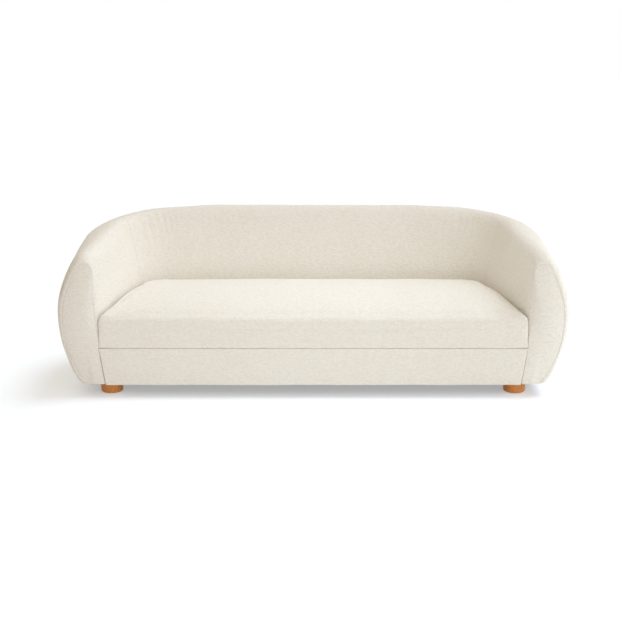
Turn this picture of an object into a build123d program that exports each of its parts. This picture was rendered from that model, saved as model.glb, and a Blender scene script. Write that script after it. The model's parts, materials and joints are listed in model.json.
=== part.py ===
import math
import os

from build123d import *

os.makedirs("parts", exist_ok=True)

# Overall sizes, in millimetres
overall_width = 2286.0
overall_depth = 890.0
back_height = 755.0
arm_height = 641.0
foot_height = 56.0

# Plan of the wall: distances outwards from the centre of each rear corner
arm_reach = 453.0
back_reach = 448.0
arm_thickness = 186.0
corner_thickness = 288.0
back_thickness = 268.0
corner_path_radius = 300.0
seam_angle = 30.0
back_taper_length = 230.0

# Section of the wall
widest_height = 374.0
junction_height = 400.0
arm_lean = 12.0
back_lean = 86.0
roll_depth = 62.0
ridge_offset = 54.0
shoulder_inset = 67.0
shoulder_drop = 54.0
shoulder_angle = 30.0
foot_line_inset = 93.0
foot_line_angle = 33.0
rise_share = 0.74
roll_fullness = 0.55
ridge_fullness = 0.41
barrel_fullness = 0.34
widest_fullness = 0.375

# Sections drawn along each stretch of the wall
arm_sections = 4
arm_curve_sections = 4
corner_sections = 7
seat_rail_sections = 6

# Layers of the upholstery
fabric_thickness = 2.0
inner_foam_thickness = 45.0
top_foam_thickness = 35.0
wadding_thickness = 10.0
skin_thickness = 3.0
panel_thickness = 3.0
front_pad_thickness = 22.0
front_pad_round = 18.0
front_pad_steps = 3
front_panel_inset = 20.0
dust_cover_thickness = 1.0
dust_cover_margin = 20.0
fit_gap = 0.3
layer_gap = 0.3
seam_gap = 0.5

# Timber frame
base_thickness = 30.0
base_rail_reach = 100.0
base_edge_gap = 2.5
base_front_width = 120.0
cross_rail_width = 60.0
cross_rail_spacing = 600.0
seat_rail_height = 99.0
seat_rail_inside = 45.0
seat_rail_outside = 20.0
seat_front_rail_thickness = 30.0
corner_block_leg = 55.0
corner_block_height = 60.0
rib_thickness = 18.0
arm_rear_rib_depth = 300.0
back_rib_spacing = 325.0
back_rib_count = 5
corner_rib_angle = 45.0
top_rail_width = 32.0
top_rail_height = 30.0
top_rail_drop = 75.0
top_rail_offset = 20.0
lower_rail_depth = 22.0
lower_rail_height = 32.0
lower_rail_bottom = 230.0

# Suspension and deck
spring_count = 9
spring_corner_distance = 50.0
spring_wire = 4.0
spring_bends = 16
spring_half_width = 26.0
spring_end_distance = 15.0
clip_plate = 1.2
clip_width = 20.0
clip_length = 16.0
tie_wire = 2.5
strap_width = 60.0
strap_thickness = 2.0
strap_count = 6
strap_tail = 24.0
deck_pad_thickness = 28.0
deck_cloth_thickness = 1.5
deck_edge_gap = 1.0

# Front border between the arms
border_taper = 23.0
border_end_gap = 0.5
border_edge_round = 1.5

# Loose bench cushion
cushion_side_gap = 3.0
cushion_back_gap = 10.0
cushion_front_setback = 4.0
cushion_front_height = 150.0
cushion_crown_height = 204.0
cushion_rear_height = 186.0
cushion_edge_round = 34.0
cushion_corner_radius = 150.0
cushion_back_blend = 1500.0
core_height = 112.0

# Zip on the cushion's rear border
zip_length = 780.0
zip_width = 26.0
zip_thickness = 1.0
zip_height = 78.0
zip_teeth_width = 6.0
zip_teeth_height = 1.2
zip_end_margin = 30.0
slider_length = 24.0
slider_width = 12.0
slider_thickness = 4.0
slider_round = 1.5

# Feet and their hardware
foot_diameter = 102.0
foot_bottom_diameter = 98.0
foot_edge_round = 6.0
front_foot_inset = 39.0
front_foot_depth = 89.0
rear_foot_inset = 45.0
glide_diameter = 60.0
glide_thickness = 4.0
glide_recess = 1.0
bolt_diameter = 8.0
bolt_length = 58.0
bolt_depth_in_foot = 30.0
nut_barrel_diameter = 10.0
nut_barrel_length = 9.0
nut_flange_diameter = 20.0
nut_flange_thickness = 1.5
screw_gap = 0.05

# Places worked out from the sizes above
front_y = -overall_depth / 2
corner_x = overall_width / 2 - arm_reach
corner_depth = overall_depth - back_reach
corner_y = front_y + corner_depth
corner_run = corner_path_radius * math.pi / 2
half_run = corner_depth + corner_run + corner_x
seam_run = corner_depth + corner_run * seam_angle / 90
front_seat_reach = arm_reach - arm_thickness
corner_seat_reach = back_reach - corner_thickness
back_seat_reach = back_reach - back_thickness
base_bottom = foot_height + dust_cover_thickness
base_top = base_bottom + base_thickness
seat_rail_top = base_top + seat_rail_height
wire_centre_z = seat_rail_top + clip_plate + fit_gap + spring_wire / 2
clip_top = wire_centre_z + spring_wire / 2 + fit_gap + clip_plate
deck_pad_bottom = clip_top + fit_gap
deck_top = deck_pad_bottom + deck_pad_thickness + deck_cloth_thickness
cushion_bottom = deck_top + fit_gap
pad_front = panel_thickness
pad_back = panel_thickness + front_pad_thickness
outer_layers = fabric_thickness + wadding_thickness + skin_thickness
inner_layers = fabric_thickness + inner_foam_thickness
top_layers = fabric_thickness + top_foam_thickness

# Insets of each layer's two faces at the inner face, the ridge and the outer face
cover_face = (0.0, 0.0, 0.0)
cover_back = (fabric_thickness, fabric_thickness, fabric_thickness)
padding_face = tuple(inset + layer_gap for inset in cover_back)
padding_back = (inner_layers, top_layers, outer_layers)
wadding_back = (inner_layers, top_layers, fabric_thickness + wadding_thickness)
skin_face = tuple(inset + layer_gap for inset in wadding_back)
frame_face = tuple(inset + fit_gap for inset in padding_back)


def blend(start, end, share):
    return start + (end - start) * min(max(share, 0.0), 1.0)


def along(point, direction, distance):
    return (point[0] + direction[0] * distance, point[1] + direction[1] * distance)


def seat_reach(run):
    # How far the inner face stands from the corner centre, at a place along the wall
    half = min(run, 2 * half_run - run)
    if half <= corner_depth:
        return blend(front_seat_reach, corner_seat_reach, half / corner_depth)
    past_corner = half - corner_depth - corner_run
    return blend(corner_seat_reach, back_seat_reach, past_corner / back_taper_length)


def wall_points(run, insets):
    # Corner points of the wall's section, as distance outwards and height
    inner, top, outer = insets
    half = min(run, 2 * half_run - run)
    rise = math.sin(math.pi / 2 * min(half / half_run / rise_share, 1.0))
    ridge_z = blend(arm_height, back_height, rise)
    reach = blend(arm_reach, back_reach, (half - corner_depth) / corner_run)
    inner_r = seat_reach(half) + inner
    roll_r = inner_r + blend(arm_lean, back_lean, rise)
    ridge_r = roll_r - inner + ridge_offset
    shoulder_way = (math.sin(math.radians(shoulder_angle)), -math.cos(math.radians(shoulder_angle)))
    foot_way = (-math.sin(math.radians(foot_line_angle)), -math.cos(math.radians(foot_line_angle)))
    seam = (
        reach - shoulder_inset + outer * shoulder_way[1],
        ridge_z - shoulder_drop - outer * shoulder_way[0],
    )
    return {
        "deck": (inner_r, seat_rail_top),
        "junction": (inner_r, junction_height),
        "roll": (roll_r, ridge_z - roll_depth),
        "ridge": (ridge_r, ridge_z - top),
        "shoulder": along(seam, shoulder_way, -seam_gap),
        "seam": seam,
        "widest": (reach - outer, widest_height),
        "foot": (reach - foot_line_inset - outer, base_bottom),
        "shoulder_way": shoulder_way,
        "foot_way": foot_way,
    }


def inside_edges(points):
    # Inner face from the deck up and over the ridge to the seam on the shoulder
    deck, junction, roll = points["deck"], points["junction"], points["roll"]
    ridge, shoulder = points["ridge"], points["shoulder"]
    lean_length = math.dist(junction, roll)
    lean_way = ((roll[0] - junction[0]) / lean_length, (roll[1] - junction[1]) / lean_length)
    roll_handle = along(roll, lean_way, roll_fullness * (ridge[1] - roll[1]))
    ridge_in = along(ridge, (-1, 0), roll_fullness * (ridge[0] - roll[0]))
    ridge_out = along(ridge, (1, 0), ridge_fullness * (shoulder[0] - ridge[0]))
    shoulder_in = along(shoulder, points["shoulder_way"], -ridge_fullness * (ridge[1] - shoulder[1]))
    Line(deck, junction)
    Line(junction, roll)
    Bezier(roll, roll_handle, ridge_in, ridge)
    Bezier(ridge, ridge_out, shoulder_in, shoulder)


def outside_edges(points):
    # Outer face from the seam on the shoulder down the barrel to the foot line
    shoulder, widest, foot = points["seam"], points["widest"], points["foot"]
    shoulder_out = along(shoulder, points["shoulder_way"], barrel_fullness * math.dist(shoulder, widest))
    widest_up = along(widest, (0, 1), widest_fullness * (shoulder[1] - widest[1]))
    widest_down = along(widest, (0, -1), widest_fullness * (widest[1] - foot[1]))
    foot_in = along(foot, points["foot_way"], -barrel_fullness * math.dist(widest, foot))
    Bezier(shoulder, shoulder_out, widest_up, widest)
    Bezier(widest, widest_down, foot_in, foot)


def wall_plane(run):
    # Upright plane across the wall: local x points outwards and local y points up
    half = min(run, 2 * half_run - run)
    angle = 90 * min(max((half - corner_depth) / corner_run, 0.0), 1.0)
    x = corner_x - max(half - corner_depth - corner_run, 0.0)
    y = front_y + min(half, corner_depth)
    if run > half_run:
        x = -x
        angle = 180 - angle
    outwards = (math.cos(math.radians(angle)), math.sin(math.radians(angle)), 0)
    return Plane(origin=(x, y, 0), x_dir=outwards, z_dir=(outwards[1], -outwards[0], 0))


def even_runs(start, end, count):
    return [start + (end - start) * step / (count - 1) for step in range(count)]


corner_end = corner_depth + corner_run
straight_arm_runs = even_runs(pad_back, corner_depth, arm_sections)
curved_arm_runs = even_runs(corner_depth, seam_run, arm_curve_sections)
arm_runs = straight_arm_runs + curved_arm_runs[1:]
half_back_runs = even_runs(seam_run, corner_end, corner_sections) + [corner_end + back_taper_length, half_run]
back_runs = half_back_runs + [2 * half_run - run for run in reversed(half_back_runs[:-1])]


def wall_layer(runs, edges, near_face, far_face, start, end):
    # One layer of the wall: the space between two faces, along the given runs
    with BuildPart() as layer:
        for run in runs:
            near = wall_points(run, near_face)
            far = wall_points(run, far_face)
            with BuildSketch(wall_plane(run)):
                with BuildLine():
                    edges(near)
                    edges(far)
                    Line(near[start], far[start])
                    Line(near[end], far[end])
                make_face()
        loft(ruled=True)
    return layer.part


def inside_layer(runs, near_face, far_face):
    return wall_layer(runs, inside_edges, near_face, far_face, "deck", "shoulder")


def outside_layer(runs, near_face, far_face):
    return wall_layer(runs, outside_edges, near_face, far_face, "seam", "foot")


def wall_rail(runs, low_corner, high_corner):
    # A rail of rectangular section that follows the wall; its corners are functions of the run
    with BuildPart() as rail:
        for run in runs:
            low = low_corner(run)
            high = high_corner(run)
            with BuildSketch(wall_plane(run)):
                with BuildLine():
                    Polyline(low, (high[0], low[1]), high, (low[0], high[1]), close=True)
                make_face()
        loft(ruled=True)
    return rail.part


def plan_points(runs, reach_at):
    planes = [wall_plane(run) for run in runs]
    return [plane.from_local_coords((reach_at(run), 0, 0)) for plane, run in zip(planes, runs)]


def flat_rail(runs, inner_reach, outer_reach, bottom, height):
    # A flat-sawn rail that follows the wall's plan; its reaches are functions of the run
    inner = plan_points(runs, inner_reach)
    outer = plan_points(runs, outer_reach)
    with BuildPart() as rail:
        with BuildSketch(Plane.XY.offset(bottom)):
            with BuildLine():
                Spline(*inner)
                Spline(*outer)
                Line(inner[0], outer[0])
                Line(inner[-1], outer[-1])
            make_face()
        extrude(amount=height)
    return rail.part


def wall_cavity(runs):
    # The hollow of the wall, where the frame stands
    with BuildPart() as cavity:
        for run in runs:
            points = wall_points(run, frame_face)
            heel = (points["deck"][0], base_bottom)
            with BuildSketch(wall_plane(run)):
                with BuildLine():
                    inside_edges(points)
                    Line(points["shoulder"], points["seam"])
                    outside_edges(points)
                    Line(points["deck"], heel)
                    Line(heel, points["foot"])
                make_face()
        loft(ruled=True)
    return cavity.part


def save(part, name):
    part.label = name
    export_step(part, f"parts/{name}.step")


def save_pair(part, name):
    # The right-hand piece, and its mirror image on the left
    with BuildPart() as left:
        mirror(part, about=Plane.YZ)
    save(part, f"right_{name}")
    save(left.part, f"left_{name}")


# Covers, padding and skin boards of the wall
save(inside_layer(back_runs, cover_face, cover_back), "inside_back_cover")
save(outside_layer(back_runs, cover_face, cover_back), "outside_back_cover")
save(inside_layer(back_runs, padding_face, padding_back), "back_foam")
save(outside_layer(back_runs, padding_face, wadding_back), "back_wadding")
save(outside_layer(back_runs, skin_face, padding_back), "back_skin_board")
save_pair(inside_layer(arm_runs, cover_face, cover_back), "inside_arm_cover")
save_pair(outside_layer(arm_runs, cover_face, cover_back), "outside_arm_cover")
save_pair(inside_layer(arm_runs, padding_face, padding_back), "arm_foam")
save_pair(outside_layer(arm_runs, padding_face, wadding_back), "arm_wadding")
save_pair(outside_layer(arm_runs, skin_face, padding_back), "arm_skin_board")


# Lobe-shaped ends of the arms: a padded board and a sewn front panel
def lobe_plane(depth):
    return Plane(origin=(corner_x, front_y + depth, 0), x_dir=(1, 0, 0), z_dir=(0, -1, 0))


def lobe_edges(inset):
    points = wall_points(0, (inset, inset, inset))
    points["deck"] = (points["deck"][0], cushion_bottom)
    points["foot"] = (points["foot"][0], base_bottom + inset)
    heel = (front_seat_reach - border_taper + inset, base_bottom + inset)
    inside_edges(points)
    Line(points["shoulder"], points["seam"])
    outside_edges(points)
    Line(points["deck"], heel)
    Line(heel, points["foot"])


with BuildPart() as right_arm_front_pad:
    for step in range(front_pad_steps + 1):
        turn = math.pi / 2 * step / front_pad_steps
        with BuildSketch(lobe_plane(pad_back - front_pad_thickness * math.sin(turn))):
            with BuildLine():
                lobe_edges(front_pad_round * (1 - math.cos(turn)))
            make_face()
    loft(ruled=True)
save_pair(right_arm_front_pad.part, "arm_front_pad")

with BuildPart() as right_arm_front_panel:
    with BuildSketch(lobe_plane(pad_front)):
        with BuildLine():
            lobe_edges(front_panel_inset)
        make_face()
    extrude(amount=panel_thickness)
save_pair(right_arm_front_panel.part, "arm_front_panel")


# Front border between the arms, wider at the top than at the bottom
def border_edges():
    top_x = corner_x + front_seat_reach - border_end_gap
    bottom_x = top_x - border_taper
    Polyline(
        (-bottom_x, base_bottom),
        (bottom_x, base_bottom),
        (top_x, deck_top),
        (-top_x, deck_top),
        close=True,
    )


def border_plane(depth):
    return Plane(origin=(0, front_y + depth, 0), x_dir=(1, 0, 0), z_dir=(0, -1, 0))


with BuildPart() as front_border_pad:
    with BuildSketch(border_plane(pad_back)):
        with BuildLine():
            border_edges()
        make_face()
    extrude(amount=front_pad_thickness)
save(front_border_pad.part, "front_border_pad")

with BuildPart() as front_border_cover:
    with BuildSketch(border_plane(pad_front)):
        with BuildLine():
            border_edges()
        make_face()
    extrude(amount=panel_thickness)
    chamfer(front_border_cover.faces().sort_by(Axis.Y)[0].edges(), length=border_edge_round)
save(front_border_cover.part, "front_border_cover")

# Places of the feet, and the holes for their bolts
front_foot_x = corner_x + front_seat_reach - front_foot_inset
front_foot_y = front_y + front_foot_depth
rear_foot_reach = corner_seat_reach - rear_foot_inset
rear_foot_x = corner_x + rear_foot_reach * math.cos(math.radians(corner_rib_angle))
rear_foot_y = corner_y + rear_foot_reach * math.sin(math.radians(corner_rib_angle))
foot_places = {
    "front_right_foot": (front_foot_x, front_foot_y),
    "front_left_foot": (-front_foot_x, front_foot_y),
    "rear_right_foot": (rear_foot_x, rear_foot_y),
    "rear_left_foot": (-rear_foot_x, rear_foot_y),
}


def nut_holes():
    # Holes for the tee nuts, sunk flush with the top of the base
    with Locations(*[(x, y, base_top) for x, y in foot_places.values()]):
        CounterBoreHole(
            radius=nut_barrel_diameter / 2 + screw_gap,
            counter_bore_radius=nut_flange_diameter / 2 + screw_gap,
            counter_bore_depth=nut_flange_thickness,
            depth=base_thickness,
        )


# Plywood base and the seat rails that stand on it
def base_inner(run):
    return seat_reach(run) - base_rail_reach


def base_outer(run):
    return wall_points(run, frame_face)["foot"][0] - base_edge_gap


def seat_inner(run):
    return seat_reach(run) - seat_rail_inside


def seat_outer(run):
    return seat_reach(run) + seat_rail_outside


with BuildPart() as right_base_rail:
    add(flat_rail(arm_runs, base_inner, base_outer, base_bottom, base_thickness))
    nut_holes()
save_pair(right_base_rail.part, "base_rail")

with BuildPart() as base_rear_rail:
    add(flat_rail(back_runs, base_inner, base_outer, base_bottom, base_thickness))
    nut_holes()
save(base_rear_rail.part, "base_rear_rail")

base_front_back = pad_back + base_front_width
base_front_half = corner_x + base_inner(base_front_back) - fit_gap
base_back_y = corner_y + base_inner(half_run)
cross_length = base_back_y - fit_gap - (front_y + base_front_back)
front_low = (Align.CENTER, Align.MIN, Align.MIN)

with BuildPart() as base_front_rail:
    with Locations((0, front_y + pad_back, base_bottom)):
        Box(2 * base_front_half, base_front_width, base_thickness, align=front_low)
save(base_front_rail.part, "base_front_rail")

with BuildPart() as base_cross_rails:
    with Locations((0, front_y + base_front_back, base_bottom)):
        with GridLocations(cross_rail_spacing, 0, 2, 1):
            Box(cross_rail_width, cross_length, base_thickness, align=front_low)
save(base_cross_rails.part, "base_cross_rails")

seat_front_back = pad_back + seat_front_rail_thickness
seat_front_half = corner_x + seat_outer(pad_back)
seat_side_runs = even_runs(seat_front_back, seam_run, seat_rail_sections)

with BuildPart() as seat_front_rail:
    with Locations((0, front_y + pad_back, base_top)):
        Box(2 * seat_front_half, seat_front_rail_thickness, seat_rail_height, align=front_low)
save(seat_front_rail.part, "seat_front_rail")
save(flat_rail(back_runs, seat_inner, seat_outer, base_top, seat_rail_height), "seat_rear_rail")
save_pair(flat_rail(seat_side_runs, seat_inner, seat_outer, base_top, seat_rail_height), "seat_rail")

# Three-sided blocks glued behind the front rail, beside the side rails
block_x = corner_x + seat_inner(seat_front_back + corner_block_leg) - fit_gap
with BuildPart() as corner_blocks:
    with BuildSketch(Plane.XY.offset(base_top)):
        with BuildLine():
            Polyline(
                (block_x, front_y + seat_front_back),
                (block_x, front_y + seat_front_back + corner_block_leg),
                (block_x - corner_block_leg, front_y + seat_front_back),
                close=True,
            )
        make_face()
    extrude(amount=corner_block_height)
    mirror(about=Plane.YZ)
save(corner_blocks.part, "corner_blocks")


# Rails along the top of the wall, and the ribs notched round them
def top_rail_low(run):
    ridge = wall_points(run, cover_face)["ridge"]
    return (ridge[0] + top_rail_offset - top_rail_width / 2, ridge[1] - top_rail_drop - top_rail_height)


def top_rail_high(run):
    low = top_rail_low(run)
    return (low[0] + top_rail_width, low[1] + top_rail_height)


def notch_low(run):
    return along(top_rail_low(run), (1, 1), -fit_gap)


def notch_high(run):
    return along(top_rail_high(run), (1, 1), fit_gap)


save(wall_rail(back_runs, top_rail_low, top_rail_high), "back_top_rail")
save_pair(wall_rail(arm_runs, top_rail_low, top_rail_high), "arm_top_rail")

arm_cavity = wall_cavity(arm_runs)
back_cavity = wall_cavity(back_runs)
arm_notch = wall_rail(arm_runs, notch_low, notch_high)
back_notch = wall_rail(back_runs, notch_low, notch_high)
rib_reach = 2 * arm_reach
rib_height = 2 * back_height


def arm_ribs(depth):
    with BuildPart() as ribs:
        with Locations((corner_x, front_y + depth, base_top)):
            Box(rib_reach, rib_thickness, rib_height, align=(Align.MIN, Align.MIN, Align.MIN))
        add(arm_cavity, mode=Mode.INTERSECT)
        add(arm_notch, mode=Mode.SUBTRACT)
        mirror(about=Plane.YZ)
    return ribs.part


save(arm_ribs(pad_back), "arm_front_ribs")
save(arm_ribs(arm_rear_rib_depth), "arm_rear_ribs")

with BuildPart() as corner_ribs:
    with Locations(Location((corner_x, corner_y, base_top), (0, 0, corner_rib_angle))):
        Box(rib_reach, rib_thickness, rib_height, align=(Align.MIN, Align.CENTER, Align.MIN))
    add(back_cavity, mode=Mode.INTERSECT)
    add(back_notch, mode=Mode.SUBTRACT)
    mirror(about=Plane.YZ)
save(corner_ribs.part, "corner_ribs")

lower_rail_y = corner_y + max(back_seat_reach, corner_seat_reach) + inner_layers + fit_gap + strap_thickness
lower_rail_length = back_rib_spacing * (back_rib_count - 1) + rib_thickness
with BuildPart() as back_lower_rail:
    with Locations((0, lower_rail_y, lower_rail_bottom)):
        Box(lower_rail_length, lower_rail_depth, lower_rail_height, align=front_low)
save(back_lower_rail.part, "back_lower_rail")

with BuildPart() as back_ribs:
    with Locations((0, corner_y, base_top)):
        with GridLocations(back_rib_spacing, 0, back_rib_count, 1):
            Box(rib_thickness, rib_reach, rib_height, align=front_low)
    add(back_cavity, mode=Mode.INTERSECT)
    add(back_notch, mode=Mode.SUBTRACT)
    with Locations((0, lower_rail_y - fit_gap, lower_rail_bottom - fit_gap)):
        Box(
            lower_rail_length + 2 * fit_gap,
            lower_rail_depth + 2 * fit_gap,
            lower_rail_height + 2 * fit_gap,
            align=front_low,
            mode=Mode.SUBTRACT,
        )
save(back_ribs.part, "back_ribs")

# Elastic straps from the lower rail to the top rail, two in each bay between ribs
strap_low = lower_rail_y - corner_y
strap_high = top_rail_low(half_run)[0] - fit_gap
strap_high_z = top_rail_low(half_run)[1]
with BuildPart() as strap:
    with BuildSketch(Plane(origin=(0, corner_y, 0), x_dir=(0, 1, 0), z_dir=(1, 0, 0))):
        with BuildLine():
            Polyline(
                (strap_low - strap_thickness, lower_rail_bottom),
                (strap_low - strap_thickness, lower_rail_bottom + lower_rail_height),
                (strap_high - strap_thickness, strap_high_z),
                (strap_high - strap_thickness, strap_high_z + strap_tail),
                (strap_high, strap_high_z + strap_tail),
                (strap_high, strap_high_z),
                (strap_low, lower_rail_bottom + lower_rail_height),
                (strap_low, lower_rail_bottom),
                close=True,
            )
        make_face()
    extrude(amount=strap_width / 2, both=True)

with BuildPart() as back_webbing:
    with GridLocations(back_rib_spacing / 2, 0, strap_count, 1):
        add(strap.part)
save(back_webbing.part, "back_webbing")

# Sinuous springs from the front rail to the rear rail, held in clips
spring_spacing = 2 * (corner_x - spring_corner_distance) / (spring_count - 1)
spring_front_y = front_y + pad_back + spring_end_distance
spring_rear_y = corner_y + min(back_seat_reach, corner_seat_reach) - spring_end_distance
bend_radius = (spring_rear_y - spring_front_y) / (2 * spring_bends)
bend_start = spring_half_width - bend_radius

with BuildPart() as spring:
    with BuildLine(Plane.XY.offset(wire_centre_z)) as spring_path:
        Line((-spring_half_width, spring_front_y), (bend_start, spring_front_y))
        for bend in range(spring_bends):
            way = 1 - 2 * (bend % 2)
            start_y = spring_front_y + 2 * bend_radius * bend
            last = bend == spring_bends - 1
            turn = JernArc((way * bend_start, start_y), (way, 0), bend_radius, way * 180)
            Line(turn @ 1, (-way * (spring_half_width if last else bend_start), start_y + 2 * bend_radius))
    with BuildSketch(Plane(origin=spring_path.line @ 0, z_dir=spring_path.line % 0)):
        Circle(spring_wire / 2)
    sweep()

with BuildPart() as seat_springs:
    with GridLocations(spring_spacing, 0, spring_count, 1):
        add(spring.part)
save(seat_springs.part, "seat_springs")

clip_height = 2 * clip_plate + spring_wire + 2 * fit_gap
clip_back = spring_wire / 2 + fit_gap + clip_plate


def clip_profile(wire_y, way):
    # A folded plate round the end of a spring, open away from the seat
    back = wire_y - way * clip_back
    mouth = back + way * clip_length
    with BuildSketch(Plane(origin=(0, 0, seat_rail_top), x_dir=(0, 1, 0), z_dir=(1, 0, 0))) as profile:
        with BuildLine():
            Polyline(
                (back, 0),
                (mouth, 0),
                (mouth, clip_plate),
                (back + way * clip_plate, clip_plate),
                (back + way * clip_plate, clip_height - clip_plate),
                (mouth, clip_height - clip_plate),
                (mouth, clip_height),
                (back, clip_height),
                close=True,
            )
        make_face()
    return profile.sketch


with BuildPart() as clip_pair:
    extrude(clip_profile(spring_front_y, -1), amount=clip_width / 2, both=True)
    extrude(clip_profile(spring_rear_y, 1), amount=clip_width / 2, both=True)

with BuildPart() as spring_clips:
    with GridLocations(spring_spacing, 0, spring_count, 1):
        add(clip_pair.part)
save(spring_clips.part, "spring_clips")

tie_wire_length = spring_spacing * (spring_count - 1) + 2 * spring_half_width
tie_wire_z = wire_centre_z - spring_wire / 2 - tie_wire / 2 - screw_gap
with BuildPart() as spring_tie_wire:
    with Locations(Location((0, (spring_front_y + spring_rear_y) / 2, tie_wire_z), (0, 90, 0))):
        Cylinder(tie_wire / 2, tie_wire_length)
save(spring_tie_wire.part, "spring_tie_wire")


# Plan of the seat between the arms and the back, drawn in from the wall by a gap
def seat_edges(front_depth, side_gap, back_gap):
    side_slope = (front_seat_reach - corner_seat_reach) / corner_depth
    back_slope = (back_seat_reach - corner_seat_reach) / back_taper_length
    front_x = corner_x + front_seat_reach - side_gap - side_slope * front_depth
    back_x = corner_x - back_taper_length
    back_y = corner_y + back_seat_reach - back_gap
    # the side line and the slanted end of the back line cross at the rear corner
    side_at_back = front_x - side_slope * (back_y - front_y - front_depth)
    rear_x = (side_at_back - side_slope * back_slope * back_x) / (1 - side_slope * back_slope)
    rear_y = back_y - back_slope * (rear_x - back_x)
    right = [(front_x, front_y + front_depth), (rear_x, rear_y), (back_x, back_y)]
    left = [(-x, y) for x, y in reversed(right)]
    Polyline(*right, *left, close=True)


def seat_block(bottom, height, front_depth, side_gap, back_gap, corner_radius):
    with BuildPart() as block:
        with BuildSketch(Plane.XY.offset(bottom)) as plan:
            with BuildLine():
                seat_edges(front_depth, side_gap, back_gap)
            make_face()
            rear = plan.vertices().filter_by_position(Axis.Y, corner_y, corner_y + back_seat_reach)
            across = rear.sort_by(Axis.X)
            fillet([across[0], across[-1]], radius=corner_radius)
            fillet([across[1], across[-2]], radius=cushion_back_blend)
        extrude(amount=height)
    return block.part


deck_depth = pad_back + fit_gap
deck_corner = cushion_corner_radius - deck_edge_gap
save(
    seat_block(deck_pad_bottom, deck_pad_thickness, deck_depth, deck_edge_gap, deck_edge_gap, deck_corner),
    "deck_pad",
)
save(
    seat_block(
        deck_top - deck_cloth_thickness,
        deck_cloth_thickness,
        deck_depth,
        deck_edge_gap,
        deck_edge_gap,
        deck_corner,
    ),
    "deck_cloth",
)


# Loose bench cushion, crowned from front to back
def cushion_body(inset, bottom):
    cushion_front = cushion_front_setback + inset
    rear_y = corner_y + back_seat_reach - cushion_back_gap - inset
    middle_y = (front_y + cushion_front + rear_y) / 2
    with BuildPart() as body:
        add(
            seat_block(
                bottom,
                2 * cushion_crown_height,
                cushion_front,
                cushion_side_gap + inset,
                cushion_back_gap + inset,
                cushion_corner_radius - cushion_side_gap - inset,
            )
        )
        with BuildSketch(Plane.YZ) as side:
            with BuildLine():
                crown = ThreePointArc(
                    (front_y + cushion_front, cushion_bottom + cushion_front_height - inset),
                    (middle_y, cushion_bottom + cushion_crown_height - inset),
                    (rear_y, cushion_bottom + cushion_rear_height - inset),
                )
                Polyline(crown @ 1, (rear_y, bottom), (front_y + cushion_front, bottom), crown @ 0)
            make_face()
        extrude(amount=overall_width, both=True, mode=Mode.INTERSECT)
        top = body.faces().sort_by(Axis.Z)[-1]
        fillet(top.edges(), radius=cushion_edge_round - inset)
    return body.part


cover_inset = fabric_thickness
fill_inset = fabric_thickness + layer_gap
core_top = cushion_bottom + core_height

with BuildPart() as seat_cushion_cover:
    add(cushion_body(0, cushion_bottom))
    add(cushion_body(cover_inset, cushion_bottom), mode=Mode.SUBTRACT)
save(seat_cushion_cover.part, "seat_cushion_cover")

save(
    seat_block(
        cushion_bottom,
        fabric_thickness,
        cushion_front_setback + fill_inset,
        cushion_side_gap + fill_inset,
        cushion_back_gap + fill_inset,
        cushion_corner_radius - cushion_side_gap - fill_inset,
    ),
    "seat_cushion_base_panel",
)

# The filling, cut level into a foam core and a fibre topper
filling = cushion_body(fill_inset, cushion_bottom + fabric_thickness)
core_top_plane = Plane.XY.offset(core_top)
with BuildPart() as seat_cushion_core:
    add(filling)
    split(bisect_by=core_top_plane, keep=Keep.BOTTOM)
save(seat_cushion_core.part, "seat_cushion_core")

with BuildPart() as seat_cushion_topper:
    add(filling)
    split(bisect_by=core_top_plane, keep=Keep.TOP)
save(seat_cushion_topper.part, "seat_cushion_topper")

# Zip on the rear border, with a slider that runs along its teeth
zip_y = corner_y + back_seat_reach - cushion_back_gap
zip_z = cushion_bottom + zip_height
with BuildPart() as zip_tape:
    with Locations((0, zip_y, zip_z)):
        Box(zip_length, zip_thickness, zip_width, align=(Align.CENTER, Align.MIN, Align.CENTER))
    with Locations((0, zip_y + zip_thickness, zip_z)):
        Box(zip_length, zip_teeth_height, zip_teeth_width, align=(Align.CENTER, Align.MIN, Align.CENTER))
save(zip_tape.part, "zip_tape")

slider_x = zip_length / 2 - zip_end_margin
slider_y = zip_y + zip_thickness + fit_gap
with BuildPart() as zip_slider:
    with Locations((slider_x, slider_y, zip_z)):
        Box(slider_length, slider_thickness, slider_width, align=(Align.CENTER, Align.MIN, Align.CENTER))
    fillet(zip_slider.faces().sort_by(Axis.Y)[-1].edges(), radius=slider_round)
    with Locations((slider_x, slider_y, zip_z)):
        Box(
            slider_length,
            zip_teeth_height,
            zip_teeth_width + 2 * fit_gap,
            align=(Align.CENTER, Align.MIN, Align.CENTER),
            mode=Mode.SUBTRACT,
        )
save(zip_slider.part, "zip_slider")

# Thin cloth that closes the base from below
dust_half = corner_x + arm_reach - foot_line_inset - dust_cover_margin
dust_back = corner_y + back_reach - foot_line_inset - dust_cover_margin
dust_corner = arm_reach - foot_line_inset - dust_cover_margin
with BuildPart() as dust_cover:
    with BuildSketch(Plane.XY.offset(foot_height)) as dust_plan:
        with Locations((0, front_y + pad_back)):
            Rectangle(2 * dust_half, dust_back - front_y - pad_back, align=(Align.CENTER, Align.MIN))
        fillet(dust_plan.vertices().group_by(Axis.Y)[-1], radius=dust_corner)
        with Locations(*foot_places.values()):
            Circle(bolt_diameter / 2 + screw_gap, mode=Mode.SUBTRACT)
    extrude(amount=dust_cover_thickness)
save(dust_cover.part, "dust_cover")

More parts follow.
